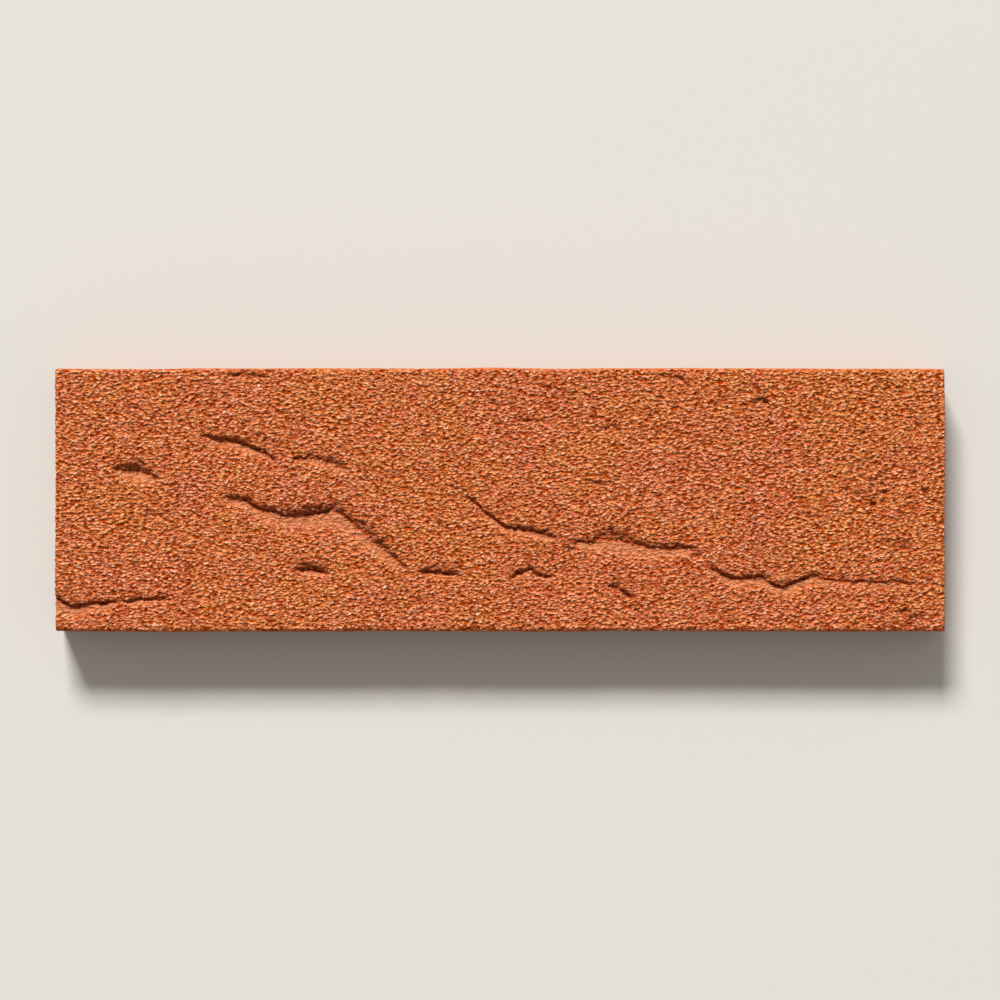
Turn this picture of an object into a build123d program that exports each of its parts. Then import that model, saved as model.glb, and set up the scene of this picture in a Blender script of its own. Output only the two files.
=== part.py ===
"""Clinker brick slip, a thin facing brick of fired clay, as one solid.

The clay is extruded as a flat strip with dovetail keys along its back, its face is struck while it is
soft, which folds short creases into it, and wires cut it to length. The slip lies on its back. X runs
along its length, Y up the wall that it is laid in and Z from the back out to the face. The origin is
the middle of the back. Sizes are in millimetres.
"""

import os
from math import pi, radians, sin, tan
from typing import NamedTuple

from build123d import *

# The strip, in the normal format of facing bricks
slip_length = 240.0
slip_height = 71.0
slip_thickness = 14.0
long_arris_radius = 1.2
end_arris_radius = 0.5

# The keys that the bonding mortar grips, each wider at its root than at its mouth
key_count = 6
key_pitch = 11.0
key_mouth = 5.0
key_depth = 2.0
key_undercut = 14.0
key_root_radius = 0.5

# The section of a crease: its upper wall is steep and its lower slope long
wall_lean = 0.25
taper_power = 0.6
headroom = 1.0


class Crease(NamedTuple):
    """A fold in the face: its lip line from left to right, from the middle of the face, its width from
    the lip to the foot of the lower slope, and its depth, both where it is largest."""

    lip: list
    width: float
    depth: float


creases = {
    "long_fold": Crease(
        [(-75, 1.3), (-69, 0.7), (-62, -3), (-55, -3.5), (-46, -1.6), (-38.5, -5.2), (-32.5, -11), (-25, -18)],
        width=4.6,
        depth=1.3,
    ),
    "upper_left_fold": Crease([(-80.5, 18.2), (-74, 17), (-67, 14.4), (-60, 11.6)], width=3, depth=1.1),
    "upper_middle_fold": Crease([(-56, 11), (-52, 11.9), (-46, 11), (-40.5, 9)], width=2.6, depth=0.7),
    "left_nick": Crease([(-104, 9), (-98.3, 11.4), (-92, 6.8)], width=3.6, depth=1.1),
    "lower_left_nick": Crease([(-56, -18.4), (-52, -17), (-47, -19.2)], width=2.4, depth=1.1),
    "left_end_fold": Crease(
        [(-128, -20), (-119, -26), (-115, -28), (-107, -27), (-97, -26), (-89, -25.6)],
        width=3.2,
        depth=1.1,
    ),
    "lower_middle_nick": Crease([(-21.5, -18.8), (-17.5, -18.2), (-11, -19.8)], width=2.2, depth=1),
    "middle_fold": Crease([(-10, 1.6), (-3, -4.2), (1, -6.9), (9.5, -8.4), (15.5, -10.6)], width=2.6, depth=1),
    "right_fold": Crease(
        [(18.5, -11.6), (24.7, -10.2), (31, -8.8), (37, -11.4), (46, -12.5), (53, -12)],
        width=4.2,
        depth=1.1,
    ),
    "right_end_fold": Crease(
        [(56.5, -18), (62.5, -21.1), (70.5, -20.8), (75, -24), (82, -21.6), (96, -22), (112, -22.1), (128, -24)],
        width=2.8,
        depth=1,
    ),
}


def crease_wedge(crease):
    """The clay that a crease takes away: a wedge across the face at each inner point of the lip line,
    lofted from one to the next, that runs out to nothing at both ends of the line."""
    (start_x, start_y), (end_x, end_y) = crease.lip[0], crease.lip[-1]
    sections = [Vertex(start_x, start_y, slip_thickness)]
    for x, y in crease.lip[1:-1]:
        taper = sin(pi * (x - start_x) / (end_x - start_x)) ** taper_power
        depth = crease.depth * taper
        root_y = y - wall_lean * depth
        root_z = slip_thickness - depth
        foot_reach = crease.width * taper - wall_lean * depth
        rise = depth + headroom
        with BuildSketch(Plane.YZ.offset(x)) as across:
            with BuildLine():
                Polyline(
                    (root_y, root_z),
                    (root_y + wall_lean * rise, root_z + rise),
                    (root_y - foot_reach * rise / depth, root_z + rise),
                    close=True,
                )
            make_face()
        sections.append(across.sketch)
    sections.append(Vertex(end_x, end_y, slip_thickness))
    with BuildPart() as wedge:
        loft(sections, ruled=True)
    return wedge.part


crease_wedges = [crease_wedge(crease) for crease in creases.values()]

with BuildPart() as brick_slip:
    # The extruded section, with its long arrises rounded and the keys cut into its back
    with BuildSketch(Plane.YZ) as section:
        Rectangle(slip_height, slip_thickness, align=(Align.CENTER, Align.MIN))
        fillet(section.vertices().group_by(Axis.Y)[-1], long_arris_radius)
        key_root = key_mouth + 2 * key_depth * tan(radians(key_undercut))
        with GridLocations(key_pitch, 0, key_count, 1):
            Trapezoid(
                key_root,
                key_depth,
                90 + key_undercut,
                align=(Align.CENTER, Align.MIN),
                mode=Mode.SUBTRACT,
            )
        key_corners = section.vertices().filter_by(lambda corner: abs(corner.Y - key_depth) < 1e-6)
        fillet(key_corners, key_root_radius)
    extrude(amount=slip_length / 2, both=True)

    # The wire-cut ends, eased where they meet the face and the two long sides
    end_edges = brick_slip.faces().filter_by(Axis.X).edges()
    above_keys = end_edges.filter_by(lambda edge: edge.center().Z > key_depth + key_root_radius)
    fillet(above_keys, end_arris_radius)

    add(crease_wedges, mode=Mode.SUBTRACT)

brick_slip.part.label = "brick_slip"
os.makedirs("parts", exist_ok=True)
export_step(brick_slip.part, "parts/brick_slip.step")
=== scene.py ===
"""Dresses the clinker brick slip: its struck face with the creases that the striking folded into it, its
dragged sides, wire-cut ends and keyed back, and the studio that it is seen in.

Lengths in the tables and functions are millimetres, and become metres when a mesh is made. X runs along
the slip, Y up the wall that it is laid in and Z from the back out to the face.
"""

import math
from typing import NamedTuple

import bpy
import numpy as np
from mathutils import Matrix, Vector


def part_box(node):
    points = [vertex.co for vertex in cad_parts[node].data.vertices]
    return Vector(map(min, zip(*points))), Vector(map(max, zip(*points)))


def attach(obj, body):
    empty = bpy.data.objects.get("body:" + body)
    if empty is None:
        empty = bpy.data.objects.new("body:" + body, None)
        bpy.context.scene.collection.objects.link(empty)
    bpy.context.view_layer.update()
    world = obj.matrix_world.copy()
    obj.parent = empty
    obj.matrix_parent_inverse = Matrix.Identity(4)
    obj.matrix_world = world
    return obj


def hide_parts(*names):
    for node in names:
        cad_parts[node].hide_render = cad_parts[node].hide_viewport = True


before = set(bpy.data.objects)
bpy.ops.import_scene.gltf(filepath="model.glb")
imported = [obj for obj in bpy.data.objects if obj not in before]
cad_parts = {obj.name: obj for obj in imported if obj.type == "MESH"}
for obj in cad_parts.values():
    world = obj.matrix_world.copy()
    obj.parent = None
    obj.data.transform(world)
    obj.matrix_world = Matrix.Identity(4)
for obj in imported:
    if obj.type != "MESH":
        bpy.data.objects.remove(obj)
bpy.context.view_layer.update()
node_low, node_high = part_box("brick_slip")

bl_info = {
    "name": "Clinker Brick Slip",
    "version": (1, 0, 0),
    "blender": (4, 5, 0),
    "location": "3D View > Sidebar > Brick Slip",
    "description": "Builds a struck clinker brick slip and the studio that it is seen in",
    "category": "Add Mesh",
}

MM_PER_M = 1000.0

# The strip that was extruded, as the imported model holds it
HALF_LENGTH = MM_PER_M * (node_high.x - node_low.x) / 2
HALF_HEIGHT = MM_PER_M * (node_high.y - node_low.y) / 2
THICKNESS = MM_PER_M * (node_high.z - node_low.z)
LONG_ARRIS = 1.2
END_ARRIS = 0.5

# The dovetail keys along the back
KEY_COUNT = 6
KEY_PITCH = 11.0
KEY_MOUTH = 5.0
KEY_DEPTH = 2.0
KEY_UNDERCUT = math.radians(14)
KEY_ROOT_RADIUS = 0.5

# How finely each part of the surface is divided. The run along the length halves three times on its way
# from the face to the back, so it divides by eight.
ARRIS_STEPS = 5
END_STEPS = 3
RUN_STEPS = 480
FACE_STEPS = 146
KEY_STEPS = 16
LAND_STEPS = 8
OUTER_LAND_STEPS = 10
# How many steps across the face the rows' spread is worked out in
SPREAD_STEPS = 1400
# Faces that meet at more than this keep a sharp edge between them
SHARP_ANGLE = math.radians(75)

# A crease at least this deep has its whole torn look, and each has at least this much wall
FULL_DEPTH = 0.5
LEAST_WALL = 0.35
# The waves of a torn line: the shortest, the longest and how many there are
SHORTEST_WAVE = 1.1
LONGEST_WAVE = 7.0
WAVE_COUNT = 7
# How far to each side of a place the slant of a crease is measured, and how much its depth wanders
SLANT_REACH = 1.5
DEPTH_WANDER = 0.15
# The crack at the foot of a wall: half its width, and its depth as a share of the crease's
CRACK_REACH = 0.3
CRACK_SHARE = 0.25

# How high the drag marks and the grain stand on the sides and the back
DRAG_HEIGHT = 0.06
SIDE_GRAIN_HEIGHT = 0.03
# The least and the most that the face's grain can be of its usual height, and how far the face is let
# down under it, as a share of that height
ROUGHNESS_LIMITS = (0.5, 1.8)
LET_DOWN = 0.8

# How much of the section's edge gives way to the end arrises
PRESSED_WIDTH = 5.0

# Levels down a side, from the long arris to the back. The run halves below the marked ones.
NECK_LEVEL = 3.0
SIDE_LEVELS = (12.0, 11.1, 10.1, 9.0, 7.9, 6.8, 5.7, 4.4, NECK_LEVEL, 2.0, 1.0, 0.0)
HALVED_AT = (9.0, 4.4, 0.0)

# The studio, in metres: half the floor's width, and the key light's distance and its two sides. It stands
# far off, so that it lights the floor evenly.
FLOOR_REACH = 3.0
LIGHT_DISTANCE = 20.0
LIGHT_SIDES = (6.4, 4.0)
# The light is a little warm, and the air round it warmer
LIGHT_COLOUR = (1.0, 0.97, 0.93)
AIR_COLOUR = (1.0, 0.93, 0.85, 1.0)
# The camera's sensor, in millimetres, as Blender takes it
SENSOR_WIDTH = 36.0

# The flat sheet that noise is made on, and the gap between the parts of the surface that are laid out on it
SHEET_STEP = 0.2
SHEET_SHAPE = (1024, 1320)
SHEET_GAP = 2.0


class CreasePoint(NamedTuple):
    """A crease at one place along it, from the middle of the face: the heights of its torn upper lip and
    of the crack that the wall below the lip ends in, its depth, and how far the slope beyond the crack
    takes to come level with the face again."""

    x: float
    lip: float
    crack: float
    depth: float
    slope: float


class Pit(NamedTuple):
    """A place where the blade pulled the clay out: its middle, its half sizes and its depth."""

    x: float
    y: float
    half_length: float
    half_height: float
    depth: float


# The creases that the striking blade folded into the face, each from its left end to its right: the values
# of its CreasePoints, in their order
CREASE_VALUES = {
    "long_fold": (
        (-74.3, 1.32, 1, 0, 1.5), (-73.4, 1.55, 0.77, 0.7, 2.8), (-71, 1.33, 0.29, 0.97, 3.3),
        (-68.3, 1.04, -0.22, 0.97, 3.7), (-67, 0.14, -1.24, 0.95, 4.1),
        (-65.3, -1.03, -2.28, 1.03, 4.46), (-61.6, -1.6, -3.13, 1.28, 5.13),
        (-57.7, -2.6, -4.18, 1.35, 5.91), (-54, -2.22, -4.2, 1.35, 6.68),
        (-50.7, -1.55, -3.81, 1.43, 7.46), (-47, -1.09, -3.08, 1.32, 8.03),
        (-45, -0.62, -2.55, 1.13, 8.03), (-43.4, -1.52, -3.25, 0.95, 7.74),
        (-41.5, -2.97, -4.81, 0.84, 6.2), (-37.8, -5.33, -7.58, 0.86, 5.2),
        (-34.1, -7.97, -11.11, 0.91, 4.8), (-30.5, -11.92, -13.73, 0.86, 3.96),
        (-28, -14.85, -15.85, 0.61, 2.99), (-26, -17.02, -17.68, 0.45, 2.17),
        (-24.4, -18.98, -19.32, 0, 1),
    ),
    "upper_left_fold": (
        (-80.6, 18.06, 17.74, 0, 1), (-79.3, 17.74, 17.26, 0.45, 1.8), (-78.2, 17.5, 16.6, 1, 2.79),
        (-74.5, 17.63, 16.17, 1.18, 3.42), (-70.9, 16.85, 15.55, 1.18, 3.42),
        (-67.2, 15.48, 14.42, 1, 3.24), (-64, 13.62, 12.98, 0.89, 2.8), (-61.8, 12.5, 11.7, 0.73, 2.2),
        (-60.6, 11.55, 11.15, 0.32, 1.5), (-59.6, 10.77, 10.53, 0, 1),
    ),
    "upper_middle_fold": (
        (-56.8, 11.48, 11.1, 0, 1.2), (-54.8, 11.66, 11.12, 0.46, 1.98),
        (-50.4, 12.39, 11.39, 0.6, 2.79), (-47.5, 11.88, 10.8, 0.6, 3.24),
        (-45.2, 10.98, 9.9, 0.6, 3.06), (-41.5, 9.69, 8.69, 0.53, 2.43), (-39.4, 8.17, 7.71, 0, 1.2),
    ),
    "left_nick": (
        (-104.6, 8.98, 8.68, 0, 1), (-103.2, 9.47, 8.49, 0.83, 2.5), (-101.6, 9.86, 8.2, 1.29, 3.4),
        (-100, 10.25, 7.91, 1.36, 4), (-97.3, 10.77, 7.89, 1.44, 4.5), (-95.3, 9.1, 7.06, 1.13, 3.8),
        (-92.9, 6.82, 6.14, 0.45, 2.5), (-91.2, 5.58, 5.28, 0, 1),
    ),
    "left_end_fold": (
        (-128, -20.72, -21.48, 0.91, 5.6), (-120.5, -25.32, -26.08, 1.01, 5.6),
        (-118.4, -26.52, -27.28, 1.09, 5.1), (-115.1, -27.92, -28.88, 1.09, 4.5),
        (-112.2, -27.52, -28.28, 1.01, 3.8), (-108.5, -27.01, -27.69, 0.91, 3.4),
        (-104.5, -27.01, -27.59, 0.65, 2.9), (-102.6, -27.31, -27.69, 0, 1.4),
    ),
    "left_end_nick": (
        (-103.2, -25.88, -26.22, 0, 1), (-101.6, -26.29, -26.81, 0.43, 1.8),
        (-100.2, -26.89, -27.41, 0.54, 2.5), (-97.5, -26.29, -26.81, 0.67, 2.7),
        (-94, -26.09, -26.61, 0.54, 2.5), (-90.9, -26.09, -26.61, 0.48, 2),
        (-88.2, -26.28, -26.62, 0, 1),
    ),
    "lower_left_nick": (
        (-55.8, -18.29, -18.65, 0, 0.8), (-54.6, -17.72, -18.52, 0.81, 1.5),
        (-53.4, -16.87, -18.67, 1.35, 1.8), (-51.8, -16.41, -18.83, 1.61, 2),
        (-51, -16.32, -19.02, 1.61, 2), (-49.5, -17.37, -19.07, 1.52, 1.8),
        (-47.6, -18.33, -19.31, 1.08, 1.4), (-46.2, -19.29, -19.55, 0, 0.8),
    ),
    "middle_fold": (
        (-10.2, 2.28, 1.92, 0, 0.8), (-8.3, 1.08, 0.72, 0.44, 1.4), (-5.7, -1.24, -1.76, 0.66, 2),
        (-2.8, -3.25, -4.05, 0.88, 2.6), (-0.9, -4.84, -5.46, 0.84, 2.6),
        (1.3, -6.83, -7.27, 0.79, 2.4), (4.6, -6.75, -7.63, 0.93, 2.6), (8.3, -7.16, -8.42, 1.07, 2.8),
        (12, -7.76, -9.02, 0.97, 2.6), (14.5, -9.35, -9.83, 0.58, 1.6), (16.2, -10.55, -10.93, 0, 0.8),
    ),
    "linking_tear": (
        (16.6, -11.81, -12.2, 0, 0.6), (18, -11.83, -12.51, 0.48, 1.1),
        (19.4, -12.45, -13.02, 0.48, 1.1), (21.2, -12.86, -13.24, 0, 0.6),
    ),
    "right_fold": (
        (18.8, -11.45, -11.81, 0, 1), (21.5, -11.05, -11.31, 0.67, 2.6),
        (24.4, -10.57, -11.29, 0.72, 4), (27, -8.55, -10.71, 0.72, 5.5),
        (30.7, -7.97, -10.49, 0.78, 6.5), (34.4, -9.15, -11.21, 0.78, 6.5),
        (36.2, -10.49, -11.65, 0.71, 6), (38, -11.11, -12.03, 0.76, 5.2),
        (41.7, -11.83, -13.01, 0.89, 4.4), (47.3, -11.93, -13.11, 0.89, 3.8),
        (50.9, -12.26, -12.68, 0.68, 2.8), (53.2, -12.55, -12.89, 0, 1),
    ),
    "right_end_fold": (
        (56, -17.07, -17.47, 0, 0.8), (57.9, -17.87, -18.67, 0.9, 2.4), (60, -19.17, -19.97, 0.9, 3),
        (62.6, -20.47, -21.17, 0.9, 3.5), (66.6, -20.27, -20.97, 0.85, 3.8),
        (70.6, -19.57, -20.57, 0.95, 4), (72, -20.77, -21.57, 0.75, 3.5),
        (74, -22.37, -23.07, 0.85, 3.4), (76.6, -22.67, -23.57, 0.95, 3.5),
        (80.1, -21.17, -21.87, 0.85, 4), (84.9, -19.55, -20.33, 0.69, 3.6),
        (87.5, -20.75, -21.13, 0.38, 2.5), (92.6, -21.39, -21.67, 0.39, 2.5),
        (98.5, -21.49, -21.87, 0.39, 2.5), (103.6, -21.79, -22.07, 0.39, 2.5),
        (106, -21.79, -22.12, 0.39, 2.5), (110.6, -21.79, -22.17, 0.39, 2.5),
        (112.8, -21.99, -22.37, 0, 1),
    ),
    "right_end_tear": (
        (113.5, -20.52, -20.92, 0, 0.8), (115.2, -20.72, -21.62, 0.34, 1.5),
        (117.2, -21.92, -22.52, 0.26, 1.5), (118.8, -22.82, -23.22, 0, 0.8),
    ),
    "lower_middle_nick": (
        (-21.9, -18.55, -18.95, 0, 0.8), (-20.9, -18.55, -19.15, 0.75, 1.2),
        (-19.4, -17.75, -19.45, 1.35, 1.5), (-17.6, -17.95, -19.55, 1.35, 1.5),
        (-16, -18.15, -19.85, 1.1, 1.5), (-14.2, -18.55, -19.85, 1.05, 1.4),
        (-13, -19.15, -19.95, 1.3, 1.4), (-11.6, -19.15, -19.95, 0.95, 1.3),
        (-10.5, -19.75, -20.15, 0, 0.8),
    ),
    "lower_zigzag": (
        (2.6, -20.83, -21.21, 0, 0.8), (3.6, -19.85, -20.69, 0.7, 1.2),
        (4.6, -18.18, -19.86, 1.26, 1.4), (6.1, -18.57, -19.87, 1.07, 1.3),
        (7.1, -17.96, -19.08, 0.75, 1.2), (8.1, -17.07, -18.57, 1.21, 1.4),
        (9, -18.85, -19.59, 0.56, 1.2), (10.2, -19.26, -20.28, 0.93, 1.2),
        (11.8, -19.46, -20.58, 0.88, 1.2), (13.4, -20.05, -20.89, 0.65, 1),
        (14.6, -20.83, -21.21, 0, 0.8),
    ),
    "lower_right_nick": (
        (28.6, -22.4, -22.8, 0, 0.8), (29.8, -22.1, -23.1, 0.77, 1.2), (30.9, -22.2, -23.6, 1.21, 1.4),
        (32, -23.1, -24.1, 0.5, 1.2), (33.2, -23.7, -24.8, 0.88, 1.3), (34.2, -24.2, -25.4, 1.1, 1.3),
        (35.4, -25.1, -25.9, 0.44, 1), (36.6, -25.9, -26.3, 0, 0.8),
    ),
    "upper_edge_crease": (
        (-75, 33.7, 33.3, 0, 0.8), (-71.5, 34.3, 33.8, 0.36, 1.6), (-67.5, 34.5, 33.8, 0.42, 1.8),
        (-64, 34.2, 33.5, 0.36, 1.6), (-60.5, 33.1, 32.7, 0, 0.8),
    ),
    "upper_edge_fold": (
        (40.5, 34.15, 33.95, 0, 1.2), (43, 34.13, 33.87, 0.19, 2), (45.8, 33.79, 33.41, 0.26, 2.4),
        (47.8, 33.94, 33.36, 0.42, 2.4), (49.6, 32.88, 32.42, 0.36, 2),
        (51.2, 30.63, 30.37, 0.19, 1.6), (52.8, 28.25, 28.05, 0, 1),
    ),
    "upper_right_nick": (
        (68.2, 27.11, 26.95, 0, 1), (69, 27.7, 26.86, 0.45, 2.2), (70.2, 27.75, 26.61, 0.72, 2.8),
        (71.2, 27.32, 26.64, 0.68, 2.6), (72.1, 26.69, 26.47, 0.45, 1.8), (72.9, 26.31, 26.15, 0, 0.8),
    ),
    "left_hair_crease": (
        (-97.2, -3.24, -3.52, 0, 0.8), (-94.5, -3.55, -4.01, 0.31, 1.7),
        (-90.5, -3.15, -3.61, 0.31, 1.7), (-87.2, -2.84, -3.12, 0, 0.8),
    ),
    "middle_hair_crease": (
        (2.6, 21.1, 20.8, 0, 0.8), (5.4, 22.1, 21.6, 0.26, 1.7), (10, 21.9, 21.4, 0.26, 1.7),
        (13, 20.9, 20.6, 0, 0.8),
    ),
    "right_hair_crease": (
        (24.5, 18.56, 18.32, 0, 0.8), (27.4, 19.45, 19.13, 0.27, 1.7), (30, 20.71, 20.17, 0.4, 2.2),
        (32.5, 19.45, 19.13, 0.27, 1.7), (34.8, 18.76, 18.52, 0, 0.8),
    ),
    "centre_hair_crease": (
        (20.5, 6.16, 5.92, 0, 0.8), (23.5, 5.84, 5.44, 0.2, 1.3), (25.8, 5.21, 4.67, 0.4, 1.7),
        (28, 4.94, 4.54, 0.2, 1.3), (31.8, 5.95, 5.63, 0.2, 1.3), (34, 6.16, 5.92, 0, 0.8),
    ),
}
CREASES = {name: [CreasePoint(*point) for point in points] for name, points in CREASE_VALUES.items()}

# The values of each Pit, in their order
PIT_VALUES = (
    (-93.3, 22.9, 1.1, 0.6, 0.5), (-59.4, 23.4, 0.9, 0.6, 0.5), (-118.3, 26.2, 0.9, 0.7, 0.5),
    (-1.7, 26.2, 1.2, 0.7, 0.8), (13.2, 30.1, 1.2, 0.6, 0.6), (52.7, -14.9, 1.1, 0.7, 1),
    (28.4, -8.2, 0.9, 0.5, 0.3), (34, -9.8, 1, 0.5, 0.3), (-65.5, 17.4, 1.1, 0.5, 0.5),
    (108.4, -11.7, 1.9, 1, 0.4), (109.6, -13.1, 1.3, 0.7, 0.6), (109.2, -30.2, 1.3, 0.8, 0.5),
    (112.3, -31.5, 1, 0.6, 0.6), (96.5, 10.2, 0.9, 0.6, 0.5), (104.1, 2.3, 1.2, 0.6, 0.5),
    (100.1, -0.8, 0.8, 0.6, 0.4), (111.5, 7.4, 0.9, 0.7, 0.5), (114.9, 2.4, 1, 0.7, 0.6),
    (96.2, 1.7, 0.9, 0.7, 0.5), (112.2, 13.3, 1, 0.6, 0.5), (108.4, 29.3, 1, 0.7, 0.5),
    (102.2, 31.8, 1.2, 0.5, 0.5), (43.2, 18.4, 1.1, 0.6, 0.5), (40.3, 22.8, 1, 0.6, 0.5),
    (42.6, 23.4, 0.9, 0.6, 0.5), (58.4, 26, 1.2, 0.5, 0.4), (75.4, -18.2, 1.2, 0.5, 0.5),
    (-28.7, 6.9, 1.1, 0.6, 0.5), (-39.6, -23.9, 1.1, 0.6, 0.5), (-83.8, -18.7, 1.1, 0.7, 0.6),
)
PITS = [Pit(*values) for values in PIT_VALUES]

# Clods that the blade tore off and pressed back into the face: x, y, half sizes along and up, and height
CLODS = ((75.8, -20.9, 2.3, 1.3, 0.6),)

# Where the blade tore the skin and left it open, or pressed it smoother: x, y, radius and how much
# rougher it is there, below 0 where it is smoother
ROUGH_PATCHES = (
    (103.0, 6.0, 11.0, 0.7),
    (-50.0, 2.5, 8.0, 0.4),
    (31.0, -5.0, 6.0, 0.6),
    (109.0, -12.0, 5.0, 0.7),
    (111.0, -30.0, 5.0, 0.5),
    (70.0, 28.0, 10.0, 0.3),
    (-88.0, 14.0, 16.0, -0.2),
    (-100.0, -12.0, 14.0, -0.15),
)


def linear(hex_colour):
    """The linear colour of an sRGB hex value, with an alpha of 1."""
    channels = np.array([int(hex_colour[i : i + 2], 16) for i in (1, 3, 5)]) / 255
    bent = np.where(channels <= 0.04045, channels / 12.92, ((channels + 0.055) / 1.055) ** 2.4)
    return (*bent.tolist(), 1.0)


def smooth(share):
    """An S from 0 to 1 as share goes from 0 to 1, level at both ends."""
    share = np.clip(share, 0.0, 1.0)
    return share * share * (3.0 - 2.0 * share)


def length_property(name, description, default, most, least=0.0, precision=5):
    """A length in metres that a user can change."""
    return bpy.props.FloatProperty(
        name=name,
        description=description,
        default=default,
        min=least,
        max=most,
        precision=precision,
        subtype="DISTANCE",
        unit="LENGTH",
    )


def colour_property(name, description, hex_colour):
    """A colour that a user can change, with an sRGB hex value as its default."""
    return bpy.props.FloatVectorProperty(
        name=name,
        description=description,
        default=linear(hex_colour),
        size=4,
        min=0.0,
        max=1.0,
        subtype="COLOR",
    )


class SlipSettings(bpy.types.PropertyGroup):
    """What a user would change on the slip."""

    grain_height: length_property(
        "Grain Height",
        "Root mean square height of the grain that striking opened in the face",
        default=0.00014,
        most=0.0005,
    )
    grain_width: length_property(
        "Grain Width",
        "Usual distance from one grain of the face to the next",
        default=0.0018,
        most=0.01, least=0.001, precision=4,
    )
    pit_depth: length_property(
        "Pit Depth",
        "Depth of the pits where the blade pulled a grain out",
        default=0.00045,
        most=0.001,
    )
    fold_depth: bpy.props.FloatProperty(
        name="Fold Depth",
        description="Depth of the creases, as a share of their own",
        default=1.0,
        min=0.0,
        max=1.5,
        subtype="FACTOR",
    )
    lip_raggedness: length_property(
        "Lip Raggedness",
        "How far the torn lip of a crease wanders from its line",
        default=0.00036,
        most=0.001,
    )
    waviness: length_property(
        "Waviness",
        "Height of the long waves that drying and firing leave in the slip",
        default=0.00006,
        most=0.0005,
    )
    clay_colour: colour_property("Clay", "Colour of the fired body", "#EC9557")
    burnt_colour: colour_property("Burnt Clay", "Colour of the redder, harder fired patches", "#EB8C61")
    dragged_colour: colour_property(
        "Dragged Clay",
        "Colour of the duller skin on the sides, the ends and the back",
        "#9E5A38",
    )
    # Pale sand and a painted highlight on the crowns of the grains
    crown_sand_and_highlight_colour: colour_property(
        "Crowns",
        "Colour of the crowns of the grains, where sand shows through the struck skin",
        "#EFB79C",
    )
    # Partly painted shade: the torn walls of the creases and the pits are darkened with this colour
    torn_clay_and_shade_colour: colour_property("Torn Clay", "Colour of the rough walls of the creases", "#9A4E2C")
    # Painted shade: the colour put at the bottom of pits and cracks and between the grains
    painted_shade_colour: colour_property("Hollows", "Colour at the bottom of pits and cracks", "#A03600")
    smeared_colour: colour_property(
        "Smeared Clay",
        "Colour of the smooth clay that the blade dragged below each crease",
        "#AA6C4C",
    )
    quartz_colour: colour_property("Quartz Sand", "Colour of the pale sand grains in the body", "#FBD5BE")
    iron_colour: colour_property("Iron Spots", "Colour of the dark iron spots in the body", "#5E2008")


class StudioSettings(bpy.types.PropertyGroup):
    """What a user would change in the studio."""

    floor_colour: colour_property("Floor", "Colour of the pale floor", "#C0BFBC")
    key_power: bpy.props.FloatProperty(
        name="Key Light",
        description="Power of the soft light that grazes the face from above its upper long side",
        default=7806.0,
        min=0.0,
        subtype="POWER",
        unit="POWER",
    )
    key_elevation: bpy.props.FloatProperty(
        name="Key Elevation",
        description="Height of the key light above the face, as an angle",
        default=math.radians(34),
        min=0.0,
        max=math.radians(90),
        subtype="ANGLE",
        unit="ROTATION",
    )
    key_turn: bpy.props.FloatProperty(
        name="Key Turn",
        description="How far the key light is turned to the left of straight above",
        default=math.radians(14),
        min=math.radians(-90),
        max=math.radians(90),
        subtype="ANGLE",
        unit="ROTATION",
    )
    fill_strength: bpy.props.FloatProperty(
        name="Fill",
        description="Strength of the even light from all round",
        default=0.43,
        min=0.0,
        max=4.0,
    )
    lens: bpy.props.FloatProperty(
        name="Lens",
        description="Focal length of the camera, on a sensor 36 mm wide",
        default=100.0,
        min=20.0,
        max=400.0,
        subtype="DISTANCE_CAMERA",
    )
    slip_share: bpy.props.FloatProperty(
        name="Slip in Frame",
        description="Share of the picture's width that the slip takes up",
        default=0.89,
        min=0.1,
        max=1.0,
        subtype="FACTOR",
    )


def ragged_line(name, x, height):
    """Short waves along x: a sum of sines, each longer than the last by the same factor and a little
    higher."""
    rng = np.random.default_rng(sum(map(ord, name)))
    lengths = np.geomspace(SHORTEST_WAVE, LONGEST_WAVE, WAVE_COUNT)
    phases = rng.uniform(0.0, 2.0 * math.pi, WAVE_COUNT)
    waves = np.sin(2.0 * math.pi * x[..., None] / lengths + phases) * (lengths / LONGEST_WAVE) ** 0.3
    return height * waves.sum(axis=-1) / math.sqrt(WAVE_COUNT / 2)


def crease_at(name, x, ragged):
    """The lip, wall, depth and slope of a crease at x: straight runs between its points, with the lip and
    the crack moved by ragged lines of their own where there is any depth. The last value is what a step up
    the face measures straight across the crease."""
    points = np.array(CREASES[name])
    lip, crack, depth, slope = (np.interp(x, points[:, 0], points[:, k]) for k in (1, 2, 3, 4))
    inside = (x > points[0, 0]) & (x < points[-1, 0])
    depth = np.where(inside, depth, 0.0)
    ahead = np.interp(x + SLANT_REACH, points[:, 0], points[:, 2])
    behind = np.interp(x - SLANT_REACH, points[:, 0], points[:, 2])
    across = 1.0 / np.sqrt(1.0 + ((ahead - behind) / (2.0 * SLANT_REACH)) ** 2)
    cut = smooth(depth / FULL_DEPTH)
    lip = lip + ragged_line(name, x, ragged) * cut
    crack = crack + ragged_line(name + " crack", x, 0.5 * ragged) * cut
    wall = np.maximum(lip - crack, LEAST_WALL) * across
    depth = depth * (1.0 + ragged_line(name + " depth", x, DEPTH_WANDER))
    return lip, wall, np.maximum(depth, 0.0), slope, across


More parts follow.
